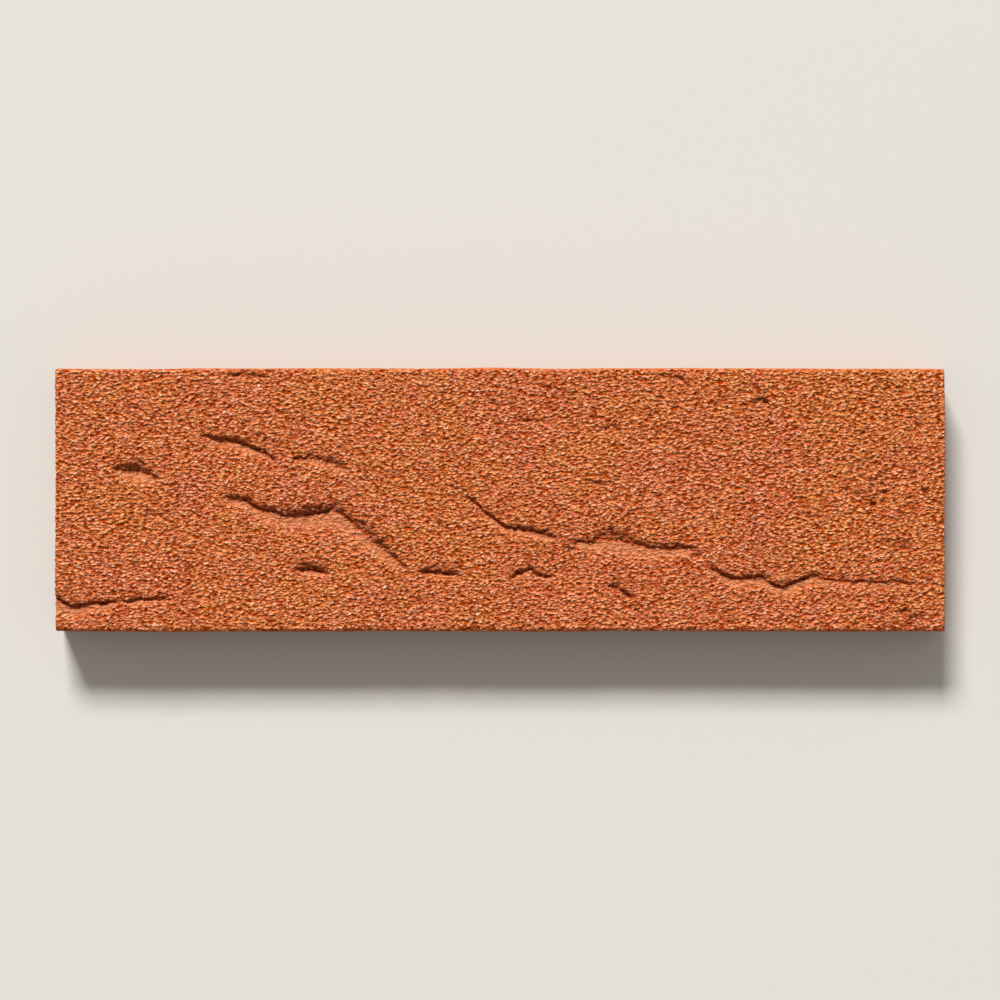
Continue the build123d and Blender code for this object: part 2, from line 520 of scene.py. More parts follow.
def grain_sheet(seed, width, spread, stretch=1.0):
    """Noise on a sheet that repeats: white noise of which only the waves about as long as width are kept,
    by a bell on the logarithm of their length. Waves along u are longer by stretch. Its rms is 1."""
    rows, columns = SHEET_SHAPE
    rng = np.random.default_rng(seed)
    down = np.fft.fftfreq(rows, SHEET_STEP)[:, None]
    along = np.fft.rfftfreq(columns, SHEET_STEP)[None, :] * stretch
    waves = np.maximum(np.hypot(down, along), 1e-6)
    bell = np.exp(-0.5 * (np.log(waves * width) / spread) ** 2)
    sheet = np.fft.irfft2(np.fft.rfft2(rng.standard_normal(SHEET_SHAPE)) * bell, SHEET_SHAPE)
    return sheet / sheet.std()


def on_sheet(sheet, u, v):
    """The sheet's value at u, v: a weighted mean of the four nearest samples."""
    rows, columns = sheet.shape
    across, down = u / SHEET_STEP, v / SHEET_STEP
    left, top = np.floor(across).astype(int), np.floor(down).astype(int)
    right_share, lower_share = across - left, down - top
    upper = sheet[top % rows, left % columns] * (1 - right_share)
    upper += sheet[top % rows, (left + 1) % columns] * right_share
    lower = sheet[(top + 1) % rows, left % columns] * (1 - right_share)
    lower += sheet[(top + 1) % rows, (left + 1) % columns] * right_share
    return upper * (1 - lower_share) + lower * lower_share


def stations():
    """Where the section stands along the length and how far it is drawn in there: even steps, and at each
    end a quarter circle of the end arris."""
    turn = np.linspace(math.pi / 2, 0.0, END_STEPS + 1)
    straight = HALF_LENGTH - END_ARRIS
    left = -straight - END_ARRIS * np.sin(turn)
    run = np.linspace(-straight, straight, RUN_STEPS + 1)
    drawn = END_ARRIS * (1.0 - np.cos(turn))
    x = np.concatenate([left[:-1], run, -left[::-1][1:]])
    inset = np.concatenate([drawn[:-1], np.zeros(run.size), drawn[::-1][1:]])
    return x, inset


def halved(columns):
    """Of a row's columns, those that the next, coarser row keeps: the end arrises' and every second one
    of the run between them."""
    run = columns[END_STEPS:-END_STEPS]
    return np.concatenate([columns[:END_STEPS], run[::2], columns[-END_STEPS:]])


def face_rows(x, ragged):
    """The heights of the face's rows at each x, drawn together at the creases: each crease adds a bell of
    rows to an even spread of them, and the rows share out the sum."""
    flat = HALF_HEIGHT - LONG_ARRIS
    fine = np.linspace(-flat, flat, SPREAD_STEPS + 1)[:, None]
    crowd = np.ones((fine.size, x.size))
    for name in CREASES:
        lip, wall, depth, _, across = crease_at(name, x, ragged)
        middle, width = lip - 0.55 * wall / across, (0.4 + wall / 2) / across
        crowd += 1.7 * smooth(depth / 0.4) * np.exp(-(((fine - middle) / width) ** 4))
    total = np.vstack([np.zeros(x.size), np.cumsum((crowd[1:] + crowd[:-1]) / 2, axis=0)])
    total /= total[-1]
    shares = np.linspace(0.0, 1.0, FACE_STEPS + 1)[:, None] + np.zeros(x.size)
    apart = 2.0 * np.arange(x.size)
    heights = np.interp(
        (shares + apart).T.ravel(), (total + apart).T.ravel(), (fine + 0.0 * total).T.ravel()
    )
    return heights.reshape(x.size, -1).T


def key_outline():
    """The back's line from the lower long side to the upper: the section's y and z at the back, and the y
    at which the line to each point leaves the neck level, so that no two of those lines cross."""
    lean = math.tan(KEY_UNDERCUT)
    root = KEY_MOUTH / 2 + KEY_DEPTH * lean
    # The root's fillet touches the wall and the roof this far from their corner
    corner = math.radians(90) - KEY_UNDERCUT
    reach = KEY_ROOT_RADIUS / math.tan(corner / 2)
    wall_y = root - reach * math.sin(KEY_UNDERCUT)
    wall_z = KEY_DEPTH - reach * math.cos(KEY_UNDERCUT)
    middle_y = root - 0.42 * reach
    middle_z = KEY_DEPTH - 0.32 * reach
    half = [
        (KEY_MOUTH / 2, 0.0, 3.5),
        (np.interp(1 / 3, (0, 1), (KEY_MOUTH / 2, wall_y)), wall_z / 3, 3.35),
        (np.interp(2 / 3, (0, 1), (KEY_MOUTH / 2, wall_y)), 2 * wall_z / 3, 3.2),
        (wall_y, wall_z, 3.0),
        (middle_y, middle_z, 2.75),
        (root - reach, KEY_DEPTH, 2.4),
    ]
    half = np.array(half)
    roof = np.linspace(-half[-1], half[-1], KEY_STEPS - 2 * (len(half) - 1) + 1)
    roof[:, 1] = KEY_DEPTH
    key = np.vstack([half * (-1, 1, -1), roof[1:-1], half[::-1]])
    first = -(KEY_COUNT - 1) / 2 * KEY_PITCH
    line = [np.array([(-HALF_HEIGHT, 0.0, -HALF_HEIGHT)])]
    for number in range(KEY_COUNT):
        placed = key + ((first + number * KEY_PITCH), 0.0, (first + number * KEY_PITCH))
        steps = LAND_STEPS if number else OUTER_LAND_STEPS
        line.append(np.linspace(line[-1][-1], placed[0], steps + 1)[1:-1])
        line.append(placed)
    end = np.array([HALF_HEIGHT, 0.0, HALF_HEIGHT])
    line.append(np.linspace(line[-1][-1], end, OUTER_LAND_STEPS + 1)[1:])
    return np.vstack(line)


def drawn_in(y, inset):
    """y with the outermost part of the section pressed together, so that its edge moves in by inset."""
    start = HALF_HEIGHT - PRESSED_WIDTH
    outer = np.maximum(np.abs(y) - start, 0.0)
    return y - np.sign(y) * outer * inset / PRESSED_WIDTH


class Patch(NamedTuple):
    """Part of the surface: its points, their places on the flat sheet that the maps use, and its faces
    as rows of four or three of its own points."""

    points: np.ndarray
    sheet: np.ndarray
    quads: np.ndarray
    triangles: np.ndarray


NO_TRIANGLES = np.zeros((0, 3), int)


def grid_patch(x, y, z, u, v, turned=False):
    """A patch on a grid of rows and columns. Its faces look along the column direction crossed with the
    row direction, or the other way where it is turned."""
    rows, columns = x.shape
    number = np.arange(rows * columns).reshape(rows, columns)
    quads = np.stack([number[:-1, :-1], number[:-1, 1:], number[1:, 1:], number[1:, :-1]], axis=-1)
    quads = quads.reshape(-1, 4)
    if turned:
        quads = quads[:, ::-1]
    points = np.stack([x, y, z], axis=-1).reshape(-1, 3)
    return Patch(points, np.stack([u, v], axis=-1).reshape(-1, 2), quads, NO_TRIANGLES)


def halving_patch(fine, coarse, fine_sheet, coarse_sheet, turned=False):
    """A strip from a fine row to one that keeps half of its run: three triangles to each step of the run,
    and one quad to each step of the end arrises."""
    ahead = len(fine)
    run = len(coarse) - 2 * END_STEPS - 1
    step = np.arange(run)
    a = END_STEPS + 2 * step
    d = ahead + END_STEPS + step
    triangles = np.concatenate(
        [
            np.stack([a, a + 1, d], axis=-1),
            np.stack([a + 1, d + 1, d], axis=-1),
            np.stack([a + 1, a + 2, d + 1], axis=-1),
        ]
    )
    left = np.arange(END_STEPS)
    right_fine = len(fine) - 1 - END_STEPS + left
    right_coarse = ahead + len(coarse) - 1 - END_STEPS + left
    start = np.concatenate([left, right_fine])
    below = np.concatenate([ahead + left, right_coarse])
    quads = np.stack([start, start + 1, below + 1, below], axis=-1)
    if turned:
        triangles, quads = triangles[:, ::-1], quads[:, ::-1]
    return Patch(np.vstack([fine, coarse]), np.vstack([fine_sheet, coarse_sheet]), quads, triangles)


def lateral_patches(ragged):
    """The face with its long arrises, both long sides and the back, each a run of rows along the length.
    Returns them with the rows that the ends start from."""
    x, inset = stations()
    flat, straight = HALF_HEIGHT - LONG_ARRIS, THICKNESS - LONG_ARRIS
    turn = np.linspace(0.0, math.pi / 2, ARRIS_STEPS + 1)[:, None]
    rows = face_rows(x, ragged)
    out_y, out_z = np.cos(turn) + 0 * x, np.sin(turn) + 0 * x
    level = np.zeros_like(rows)
    normal_y = np.vstack([-out_y[:-1], level, out_y[::-1][1:]])
    normal_z = np.vstack([out_z[:-1], level + 1.0, out_z[::-1][1:]])
    centre_y = np.vstack([-flat + 0 * out_y[:-1], rows, flat + 0 * out_y[1:]])
    radius = np.vstack([LONG_ARRIS + 0 * out_y[:-1], level, LONG_ARRIS + 0 * out_y[1:]])
    y = centre_y + normal_y * (radius - inset)
    z = np.where(radius > 0, straight, THICKNESS) + normal_z * (radius - inset)
    bend = LONG_ARRIS * math.pi / 2
    lower_v = straight + LONG_ARRIS * (turn + 0 * x)
    upper_v = straight + 2 * flat + 2 * bend - LONG_ARRIS * (turn[::-1] + 0 * x)
    v = np.vstack([lower_v[:-1], straight + bend + flat + rows, upper_v[1:]])
    u = x + HALF_LENGTH + 0 * v
    patches = [grid_patch(x + 0 * y, y, z, u, v)]

    width = 2 * flat + 2 * bend
    for side in (-1, 1):
        turned = side < 0
        columns = np.arange(x.size)
        above = straight
        for below in SIDE_LEVELS:
            kept = halved(columns) if below in HALVED_AT else columns
            strip = []
            for chosen, height in ((columns, above), (kept, below)):
                at = np.stack([x[chosen], side * (HALF_HEIGHT - inset[chosen]), height + 0 * x[chosen]], -1)
                place = height if side < 0 else width + 2 * straight - height
                strip.append((at, np.stack([x[chosen] + HALF_LENGTH, place + 0 * x[chosen]], -1)))
            (top, top_sheet), (bottom, bottom_sheet) = strip
            if below in HALVED_AT:
                patches.append(halving_patch(top, bottom, top_sheet, bottom_sheet, turned))
            else:
                both = np.stack([top, bottom])
                sheets = np.stack([top_sheet, bottom_sheet])
                patches.append(
                    grid_patch(*np.moveaxis(both, -1, 0), *np.moveaxis(sheets, -1, 0), turned=turned)
                )
            columns, above = kept, below

    outline = key_outline()
    line_y, line_z = outline[::-1, 0, None], outline[::-1, 1, None]
    back_x, back_inset = x[columns], inset[columns]
    back_y = drawn_in(line_y + 0 * back_x, back_inset)
    steps = np.hypot(np.diff(outline[::-1, 0]), np.diff(outline[::-1, 1]))
    along = np.concatenate([[0.0], np.cumsum(steps)])[:, None]
    back_v = 2 * straight + width + SHEET_GAP + along
    patches.append(
        grid_patch(
            back_x + 0 * back_y,
            back_y,
            line_z + 0 * back_y,
            back_x + HALF_LENGTH + 0 * back_y,
            back_v + 0 * back_y,
        )
    )
    return patches, (y[:, 0], z[:, 0]), (y[:, -1], z[:, -1])


def end_patch(side, face_y, face_z, number):
    """A wire-cut end: lines from each point of the face's edge down to the neck level and on to the point
    of the keyed back that it answers to."""
    outline = key_outline()
    back_y = drawn_in(outline[:, 0], END_ARRIS)
    neck_y = drawn_in(outline[:, 2], END_ARRIS)
    straight = THICKNESS - LONG_ARRIS
    levels = np.array((straight, *SIDE_LEVELS))[:, None]
    upper = np.clip((straight - levels) / (straight - NECK_LEVEL), 0.0, 1.0)
    lower = np.clip((NECK_LEVEL - levels) / NECK_LEVEL, 0.0, 1.0)
    y = face_y + (neck_y - face_y) * upper + (back_y - neck_y) * lower
    z = face_z + (NECK_LEVEL - face_z) * upper + (outline[:, 1] - NECK_LEVEL) * lower
    x = side * HALF_LENGTH + 0 * y
    u = 2 * HALF_LENGTH + SHEET_GAP + z
    v = number * (2 * HALF_HEIGHT + SHEET_GAP) + y + HALF_HEIGHT
    return grid_patch(x, y, z, u, v, turned=side > 0)


def welded(patches):
    """One mesh from the patches: points that share a place become one. Returns the points, the sheet place
    of each, and the faces with a sheet place for each of their corners."""
    starts = np.cumsum([0] + [len(patch.points) for patch in patches])
    points = np.vstack([patch.points for patch in patches])
    sheet = np.vstack([patch.sheet for patch in patches])
    _, first, place = np.unique(np.round(points, 4), axis=0, return_index=True, return_inverse=True)
    place = place.ravel()
    quads = np.vstack([patch.quads + start for patch, start in zip(patches, starts)])
    triangles = np.vstack([patch.triangles + start for patch, start in zip(patches, starts)])
    corners = np.vstack([sheet[quads].reshape(-1, 2), sheet[triangles].reshape(-1, 2)])
    return points[first], sheet[first], place[quads], place[triangles], corners


class Relief(NamedTuple):
    """What the creases, pits and clods do at each point: how far they drop it, how smeared it is, how much
    painted shade its cracks and pits get, and how far the clay is torn open."""

    drop: np.ndarray
    smeared: np.ndarray
    hollow: np.ndarray
    torn: np.ndarray


def crease_relief(x, y, crumbs, ragged, share):
    """From its lip a crease's torn wall, broken up by crumbs, falls to a narrow crack: a power of the way
    down it, near 1 where the wall is steep, and under 1, so fast at first, where it is wide for its depth.
    Beyond the crack the slope rises by an S, steepest past its middle. A pit is a bell, and a clod stands
    up as the root of a dome."""
    relief = Relief(*(np.zeros(x.shape) for _ in range(4)))
    for name in CREASES:
        lip, wall, depth, slope, across = crease_at(name, x, ragged)
        depth = depth * share
        full = smooth(depth / FULL_DEPTH)
        below = (lip - y) * across
        loose = 0.6 * ragged * np.minimum(wall / 1.3, 1.0) * full * (1.0 - smooth(below - wall))
        below = below + loose * crumbs
        fallen = np.clip(below / wall, 0.0, 1.0)
        beyond = below - wall
        risen = np.clip(beyond / slope, 0.0, 1.0)
        crack = np.exp(-((beyond / CRACK_REACH) ** 2)) * (below > 0)
        power = 1.1 - 0.7 * smooth(wall / np.maximum(depth, 0.1) - 1.5)
        drop = depth * (fallen**power * (1.0 - smooth(risen**1.5)) + CRACK_SHARE * crack)
        np.maximum(relief.drop, drop, out=relief.drop)
        smeared = full * smooth(beyond / 0.8) * (1.0 - smooth((risen - 0.35) / 0.55))
        np.maximum(relief.smeared, smeared, out=relief.smeared)
        # Painted shade in the crack at the foot of the wall
        np.maximum(relief.hollow, full * crack, out=relief.hollow)
        torn = full * np.exp(-np.maximum(-below, 0.0) / 0.9) * (1.0 - smooth((beyond - 0.1) / 0.8))
        np.maximum(relief.torn, torn, out=relief.torn)
    for pit in PITS:
        bell = np.exp(-(((x - pit.x) / pit.half_length) ** 2) - ((y - pit.y) / pit.half_height) ** 2)
        np.maximum(relief.drop, pit.depth * bell, out=relief.drop)
        # Painted shade in the pit
        np.maximum(relief.hollow, 0.65 * bell, out=relief.hollow)
        np.maximum(relief.torn, bell, out=relief.torn)
    for clod_x, clod_y, half_length, half_height, rise in CLODS:
        away = ((x - clod_x) / half_length) ** 2 + ((y - clod_y) / half_height) ** 2
        dome = np.clip(1.0 - away, 0.0, 1.0)
        relief.drop[:] = relief.drop - rise * dome**0.5
        np.maximum(relief.smeared, 0.8 * dome**0.5, out=relief.smeared)
    return relief


def slip_surface(settings):
    """The whole surface of the slip. Returns its points, faces, sheet corners and point attributes."""
    ragged = settings.lip_raggedness * MM_PER_M
    patches, left_edge, right_edge = lateral_patches(ragged)
    patches.append(end_patch(-1, *left_edge, 0))
    patches.append(end_patch(1, *right_edge, 1))
    points, sheet, quads, triangles, corners = welded(patches)
    x, y, z = points.T
    u, v = sheet.T

    faces = np.vstack([quads[:, (0, 1, 2)], quads[:, (0, 2, 3)], triangles])
    edges = points[faces]
    facing = np.cross(edges[:, 1] - edges[:, 0], edges[:, 2] - edges[:, 0])
    normal = np.zeros_like(points)
    for corner in range(3):
        np.add.at(normal, faces[:, corner], facing)
    normal /= np.linalg.norm(normal, axis=1, keepdims=True)

    # The struck face keeps its whole grain over the arris, and the dragged sides and the back have little
    struck = smooth(normal[:, 2] / 0.7) * (z > KEY_DEPTH + 2)
    crumbs = on_sheet(grain_sheet(10, 1.2, 0.35, 2.0), u, v)
    relief = crease_relief(x, y, crumbs, ragged, settings.fold_depth)
    deep = np.clip((z - NECK_LEVEL) / (THICKNESS - NECK_LEVEL), 0.0, 1.0)
    on_top = smooth((z - THICKNESS + 3.0) / 2.0)

    # Striking levels the crowns of the grain, so it rises little above its mean and falls far below it.
    # Each sheet has a seed of its own.
    width = settings.grain_width * MM_PER_M
    fine_grain = grain_sheet(12, width, 0.28, 1.9)
    ridges = np.abs(grain_sheet(11, width * 1.7, 0.35, 2.4))
    swells = grain_sheet(13, width * 4.0, 0.4, 1.6)
    grain = fine_grain + 0.5 * (ridges - 0.8) / 0.6 + 0.06 * swells
    grain = grain / grain.std()
    grain = np.where(grain > 0, 1.0 - np.exp(-grain), grain)
    pits = np.clip(grain_sheet(14, width * 1.5, 0.3, 1.5) - 2.0, 0.0, 1.1)
    openness = grain_sheet(18, 16.0, 0.5, 1.5)
    drags = grain_sheet(15, 1.5, 0.35, 22.0) + 0.6 * grain_sheet(16, 4.0, 0.4, 30.0)
    waves = grain_sheet(17, 45.0, 0.4)

    rough = 1.0 + 0.1 * on_sheet(openness, u, v)
    for patch_x, patch_y, radius, more in ROUGH_PATCHES:
        rough += more * np.exp(-(((x - patch_x) ** 2 + (y - patch_y) ** 2) / radius**2))
    rough = np.clip(rough, *ROUGHNESS_LIMITS)
    face_grain = rough * (1.0 + 0.25 * relief.torn) * (1.0 - 0.5 * relief.smeared)
    height = settings.grain_height * MM_PER_M
    on_face = on_sheet(grain, u, v)
    heave = struck * height * face_grain * on_face
    pitted = struck * on_sheet(pits, u, v) * rough * (1.0 - 0.6 * relief.smeared)
    heave -= settings.pit_depth * MM_PER_M * pitted
    marks = DRAG_HEIGHT * on_sheet(drags, u, v) + SIDE_GRAIN_HEIGHT * on_face
    heave += (1.0 - struck) * marks
    heave += settings.waviness * MM_PER_M * on_sheet(waves, u, v)
    # Its highest grains then stand about at the CAD face
    heave -= struck * LET_DOWN * height

    moved = points + normal * heave[:, None]
    moved[:, 2] -= relief.drop * deep
    # The back was scraped level before the slip was stacked
    moved[:, 2] = np.maximum(moved[:, 2], 0.0)
    # Painted shade between the grains, on the low places of the face's grain, and in the cracks and pits
    shade_between_grains = struck * smooth((-on_face - 0.3) / 2.2) * (1.0 - 0.7 * relief.smeared)
    hollow = np.maximum(relief.hollow * on_top, 0.45 * shade_between_grains)
    attributes = {
        "struck": struck,
        "smeared": relief.smeared * on_top,
        "hollow": np.clip(np.maximum(hollow, pitted), 0.0, 1.0),
        "torn": relief.torn * on_top,
        # Painted highlight, partly pale sand, on the crowns: a little everywhere, and most on the high
        # grains of the face
        "crown": 0.06 + struck * (0.41 + 0.38 * smooth((on_face + 0.4) / 1.2)),
    }
    return moved, quads, triangles, corners, attributes


def mesh_object(name, points, quads, triangles, corners, attributes, material):
    """An object at the origin with the points in metres, its maps, its attributes and its material."""
    mesh = bpy.data.meshes.new(name)
    mesh.from_pydata(points / MM_PER_M, [], quads.tolist() + triangles.tolist())
    maps = mesh.uv_layers.new(name="OFBake")
    size = corners.max() + SHEET_GAP
    maps.data.foreach_set("uv", ((corners + SHEET_GAP / 2) / size).astype(np.float32).ravel())
    for title, values in attributes.items():
        layer = mesh.attributes.new(title, "FLOAT", "POINT")
        layer.data.foreach_set("value", values.astype(np.float32))
    mesh.polygons.foreach_set("use_smooth", np.ones(len(mesh.polygons), bool))
    mesh.set_sharp_from_angle(angle=SHARP_ANGLE)
    mesh.materials.append(material)
    mesh.validate()
    mesh.update()
    made = bpy.data.objects.new(name, mesh)
    bpy.context.scene.collection.objects.link(made)
    return made


def add_node(tree, kind, sockets=None, **settings):
    """Adds a node, sets what settings names, and fills its sockets with values or links them."""
    made = tree.nodes.new(kind)
    for name, value in settings.items():
        setattr(made, name, value)
    for socket, value in (sockets or {}).items():
        if isinstance(value, bpy.types.NodeSocket):
            tree.links.new(value, made.inputs[socket])
        else:
            made.inputs[socket].default_value = value
    return made


def per_metre(size):
    """How often a pattern of this size in millimetres repeats in a metre."""
    return MM_PER_M / size


def empty_material(name):
    """A material with its output only."""
    material = bpy.data.materials.new(name)
    material.use_nodes = True
    material.node_tree.nodes.clear()
    return material, material.node_tree


def struck_fired_clay(settings):
    """Stoneware clay, struck while soft and fired to a clinker: dry, matt and close grained, orange, with
    pale quartz sand and a few iron spots, with painted shade in its hollows and a painted highlight on its
    grains' crowns, and smoother where the blade smeared it."""
    material, tree = empty_material("struck_fired_clay")
    place = add_node(tree, "ShaderNodeTexCoord").outputs["Object"]
    masks = {
        name: add_node(tree, "ShaderNodeAttribute", attribute_name=name).outputs["Fac"]
        for name in ("struck", "smeared", "torn", "hollow", "crown")
    }

    # The kiln's heat shows as redder patches some 22 mm across, and the mixing as mottles of 4 mm
    patches = add_node(
        tree, "ShaderNodeTexNoise", {"Vector": place, "Scale": per_metre(22), "Detail": 3.0}
    ).outputs["Fac"]
    mottles = add_node(
        tree, "ShaderNodeTexNoise", {"Vector": place, "Scale": per_metre(4), "Detail": 3.0, "Roughness": 0.5}
    ).outputs["Fac"]
    blend = add_node(tree, "ShaderNodeMath", {0: patches, 1: mottles}, operation="ADD").outputs[0]
    burnt_share = add_node(
        tree, "ShaderNodeMapRange", {"Value": blend, "From Min": 0.8, "From Max": 1.2}
    ).outputs["Result"]
    body = add_node(
        tree,
        "ShaderNodeMix",
        {0: burnt_share, 6: tuple(settings.clay_colour), 7: tuple(settings.burnt_colour)},
        data_type="RGBA",
    ).outputs[2]

    # The grains are about 1.2 mm across and drawn out a little along the slip: the cells of a Voronoi
    # pattern, bent by noise so that none is regular, under grit. Each has its own tint, a painted highlight,
    # partly pale sand, on its crown, and painted shade in the hollows round it. The dragged sides and the
    # back show little of it.
    dragged = add_node(
        tree, "ShaderNodeVectorMath", {0: place, 1: (1.0, 1.5, 1.0)}, operation="MULTIPLY"
    ).outputs[0]
    grit = add_node(
        tree,
        "ShaderNodeTexNoise",
        {"Vector": dragged, "Scale": per_metre(1.05), "Detail": 2.0, "Roughness": 0.45, "Distortion": 0.5},
    )
    bent = add_node(
        tree,
        "ShaderNodeVectorMath",
        {0: grit.outputs["Color"], 1: (0.001,) * 3, 2: dragged},
        operation="MULTIPLY_ADD",
    ).outputs[0]
    grains = add_node(tree, "ShaderNodeTexVoronoi", {"Vector": bent, "Scale": per_metre(1.25)})
    dome = add_node(
        tree,
        "ShaderNodeMapRange",
        {
            "Value": grains.outputs["Distance"],
            "From Min": 0.1,
            "From Max": 0.8,
            "To Min": 0.65,
            "To Max": 0.0,
        },
        interpolation_type="SMOOTHSTEP",
    ).outputs["Result"]
    height = add_node(
        tree,
        "ShaderNodeMath",
        {0: grit.outputs["Fac"], 1: 2.1, 2: dome},
        operation="MULTIPLY_ADD",
    ).outputs[0]
    tint = add_node(
        tree, "ShaderNodeSeparateColor", {"Color": grains.outputs["Color"]}
    ).outputs["Green"]
    grain_tint = add_node(
        tree, "ShaderNodeMapRange", {"Value": tint, "To Min": 0.96, "To Max": 1.04}
    ).outputs["Result"]
    # The die leaves faint streaks along the sides and the back
    drawn_out = add_node(
        tree, "ShaderNodeVectorMath", {0: place, 1: (0.05, 1.0, 1.0)}, operation="MULTIPLY"
    ).outputs[0]
    streaks = add_node(
        tree, "ShaderNodeTexNoise", {"Vector": drawn_out, "Scale": per_metre(1.6), "Detail": 3.0}
    ).outputs["Fac"]
    streak_tint = add_node(
        tree,
        "ShaderNodeMapRange",
        {"Value": streaks, "From Min": 0.25, "From Max": 0.75, "To Min": 0.8, "To Max": 1.2},
    ).outputs["Result"]
    streaked = add_node(
        tree,
        "ShaderNodeVectorMath",
        {0: tuple(settings.dragged_colour)[:3], "Scale": streak_tint},
        operation="SCALE",
    ).outputs[0]
    skin = add_node(
        tree, "ShaderNodeMix", {0: masks["struck"], 6: streaked, 7: body}, data_type="RGBA"
    ).outputs[2]
    tinted = add_node(
        tree, "ShaderNodeVectorMath", {0: skin, "Scale": grain_tint}, operation="SCALE"
    ).outputs[0]
    # Painted shade: the low places of the grit take the shade colour, fully on the face and a little on the
    # sides and the back
    least_unshaded = add_node(
        tree, "ShaderNodeMapRange", {"Value": masks["struck"], "To Min": 0.7, "To Max": 0.0}
    ).outputs["Result"]
    unshaded_share = add_node(
        tree,
        "ShaderNodeMapRange",
        {"Value": height, "From Min": 0.85, "From Max": 1.6, "To Min": least_unshaded},
    ).outputs["Result"]
    grit_with_painted_shade = add_node(
        tree,
        "ShaderNodeMix",
        {0: unshaded_share, 6: tuple(settings.painted_shade_colour), 7: tinted},
        data_type="RGBA",
    ).outputs[2]
    # Painted highlight, partly pale sand: the highest places of the grit take the pale crown colour
    on_high_grains = add_node(
        tree, "ShaderNodeMapRange", {"Value": height, "From Min": 1.5, "From Max": 1.9}
    ).outputs["Result"]
    sand_and_highlight_share = add_node(
        tree, "ShaderNodeMath", {0: on_high_grains, 1: masks["crown"]}, operation="MULTIPLY"
    ).outputs[0]
    with_sand_and_highlight = add_node(
        tree,
        "ShaderNodeMix",
        {0: sand_and_highlight_share, 6: grit_with_painted_shade, 7: tuple(settings.crown_sand_and_highlight_colour)},
        data_type="RGBA",
    ).outputs[2]

    # The smeared clay below a crease, its torn wall in a darker colour that is partly painted shade, and the
    # painted shade in its crack lie over that in turn
    layered = with_sand_and_highlight
    for mask, share, colour in (
        ("smeared", 0.7, settings.smeared_colour),
        ("torn", 0.55, settings.torn_clay_and_shade_colour),
        ("hollow", 0.8, settings.painted_shade_colour),
    ):
        layer_share = add_node(
            tree, "ShaderNodeMath", {0: masks[mask], 1: share}, operation="MULTIPLY"
        ).outputs[0]
        layered = add_node(
            tree, "ShaderNodeMix", {0: layer_share, 6: layered, 7: tuple(colour)}, data_type="RGBA"
        ).outputs[2]

    # Single grains of sand and iron lie some 7 to 10 mm apart, each under 1 mm across: each cell of a
    # Voronoi pattern holds one spot, and the cell's random colour says whether it shows
    bare = add_node(
        tree, "ShaderNodeMapRange", {"Value": masks["struck"], "To Min": 0.35, "To Max": 1.0}
    ).outputs["Result"]
    spotted = layered
    for width, radius, share, colour in (
        (3.1, 0.15, 0.1, settings.quartz_colour),
        (2.9, 0.13, 0.2, settings.iron_colour),
    ):
        cells = add_node(tree, "ShaderNodeTexVoronoi", {"Vector": place, "Scale": per_metre(width)})
        chance = add_node(
            tree, "ShaderNodeSeparateColor", {"Color": cells.outputs["Color"]}
        ).outputs["Red"]
        chosen = add_node(
            tree, "ShaderNodeMath", {0: chance, 1: share}, operation="LESS_THAN"
        ).outputs[0]
        near = add_node(
            tree,
            "ShaderNodeMapRange",
            {"Value": cells.outputs["Distance"], "From Min": radius, "From Max": radius * 0.5},
        ).outputs["Result"]
        visible = add_node(tree, "ShaderNodeMath", {0: chosen, 1: near}, operation="MULTIPLY").outputs[0]
        spot = add_node(
            tree, "ShaderNodeMath", {0: visible, 1: bare}, operation="MULTIPLY"
        ).outputs[0]
        spotted = add_node(
            tree, "ShaderNodeMix", {0: spot, 6: spotted, 7: tuple(colour)}, data_type="RGBA"
        ).outputs[2]

    # The finest grain is 0.3 to 0.7 mm. It lies open on the face, and is closed where the clay was smeared.
    fine = add_node(
        tree,
        "ShaderNodeTexNoise",
        {"Vector": place, "Scale": per_metre(0.55), "Detail": 2.0, "Roughness": 0.6},
    ).outputs["Fac"]
    struck_grain = add_node(
        tree, "ShaderNodeMapRange", {"Value": masks["struck"], "To Min": 0.3, "To Max": 1.0}
    ).outputs["Result"]
    open_grain = add_node(
        tree,
        "ShaderNodeMapRange",
        {"Value": masks["smeared"], "To Min": struck_grain, "To Max": 0.5},
    ).outputs["Result"]
    grain_bump = add_node(
        tree,
        "ShaderNodeBump",
        {"Strength": open_grain, "Distance": 0.00018, "Height": fine},
    ).outputs["Normal"]
    coarse_bump = add_node(
        tree,
        "ShaderNodeBump",
        {"Strength": open_grain, "Distance": 0.00145, "Height": height, "Normal": grain_bump},
    ).outputs["Normal"]

    # Real fired clay has a little sheen. It is left out, as the colours then come nearer the photograph's.
    shader = add_node(
        tree,
        "ShaderNodeBsdfPrincipled",
        {
            "Base Color": spotted,
            "Roughness": 0.92,
            "IOR": 1.5,
            "Specular IOR Level": 0.0,
            "Normal": coarse_bump,
        },
    ).outputs["BSDF"]
    add_node(tree, "ShaderNodeOutputMaterial", {"Surface": shader})
    return material


def floor_paint(colour):
    """Pale matt paint, rolled on: even in colour, with no grain that the picture would show, and without
    the little sheen of real paint, which burnt out towards the light in low views."""
    material, tree = empty_material("floor_paint")
    shader = add_node(
        tree,
        "ShaderNodeBsdfPrincipled",
        {"Base Color": tuple(colour), "Roughness": 0.9, "Specular IOR Level": 0.0},
    ).outputs["BSDF"]
    add_node(tree, "ShaderNodeOutputMaterial", {"Surface": shader})
    return material


class MESH_OT_struck_clay_slip(bpy.types.Operator):
    """Builds the slip of fired clay and lets it stand for its node of the frame."""

    bl_idname = "mesh.struck_clay_slip"
    bl_label = "Struck Clay Slip"
    bl_options = {"REGISTER", "UNDO"}

    def execute(self, context):
        settings = context.scene.slip_settings
        surface = slip_surface(settings)
        slip = mesh_object("struck_clay_slip", *surface, struck_fired_clay(settings))
        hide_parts("brick_slip")
        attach(slip, "root")
        return {"FINISHED"}


